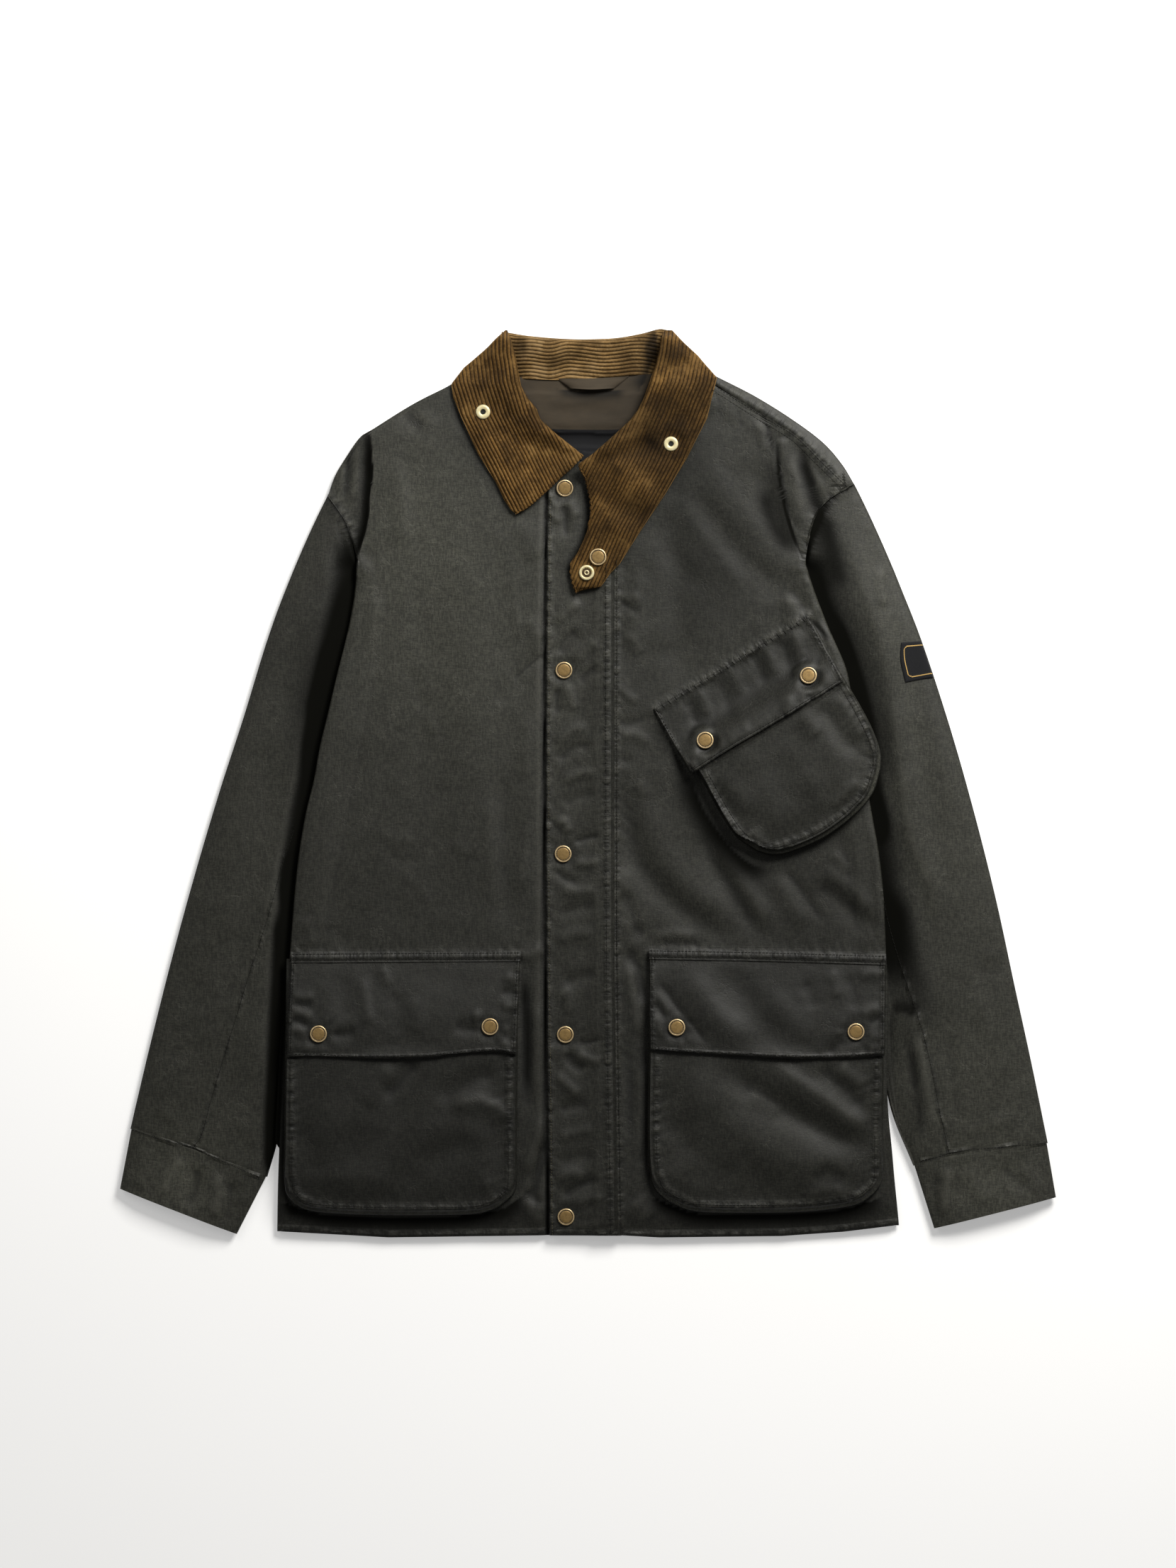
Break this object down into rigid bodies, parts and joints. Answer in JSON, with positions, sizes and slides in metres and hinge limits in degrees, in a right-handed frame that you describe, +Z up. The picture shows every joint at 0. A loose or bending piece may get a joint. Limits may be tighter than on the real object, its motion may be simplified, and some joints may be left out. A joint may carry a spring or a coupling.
{
  "type": "waxed cotton jacket",
  "caption": "Hip-length waxed cotton field jacket laid flat, front up: corduroy collar with a throat tab, snap placket, bellows pockets with flaps and a slanted chest pocket.",
  "frame": {"origin": "on the surface the jacket lies on, under the middle of its bounding box", "axes": "+X across the body to the right of somebody who looks at its front, +Y from hem to collar, +Z up, away from the surface"},
  "size_m": [0.8262, 0.7998, 0.0231],
  "materials": {
    "waxed_cotton": "waxed, low sheen",
    "corduroy": "fine wale corduroy",
    "neck_lining": "plain weave",
    "black_trim": "woven label",
    "brass": "aged brass snap caps",
    "pale_brass": "bright brass rings"
  },
  "bodies": {
    "root": {"back": "waxed_cotton", "bag_chest": "waxed_cotton", "bag_lower_left": "waxed_cotton", "bag_lower_right": "waxed_cotton", "band_lower_left": "waxed_cotton", "band_lower_right": "waxed_cotton", "collar_fall_back": "corduroy", "collar_leaf_left": "corduroy", "collar_leaf_right": "corduroy", "collar_stand": "corduroy", "cuff_left": "waxed_cotton", "cuff_right": "waxed_cotton", "eyelet_left": "pale_brass", "eyelet_right": "pale_brass", "flap_chest": "waxed_cotton", "flap_lower_left": "waxed_cotton", "flap_lower_right": "waxed_cotton", "front_left": "waxed_cotton", "front_right": "waxed_cotton", "hanger_loop": "neck_lining", "label": "black_trim", "neck_facing": "neck_lining", "placket": "waxed_cotton", "shoulder_right": "waxed_cotton", "sleeve_badge": "black_trim", "sleeve_left_under": "waxed_cotton", "sleeve_left_upper": "waxed_cotton", "sleeve_right_under": "waxed_cotton", "sleeve_right_upper": "waxed_cotton", "snap_chest_1": "brass", "snap_chest_2": "brass", "snap_lower_left_1": "brass", "snap_lower_left_2": "brass", "snap_lower_right_1": "brass", "snap_lower_right_2": "brass", "snap_placket_1": "brass", "snap_placket_2": "brass", "snap_placket_3": "brass", "snap_placket_4": "brass", "snap_placket_5": "brass", "snap_socket_tab": "pale_brass", "snap_tab": "brass"}
  },
  "joints": []
}
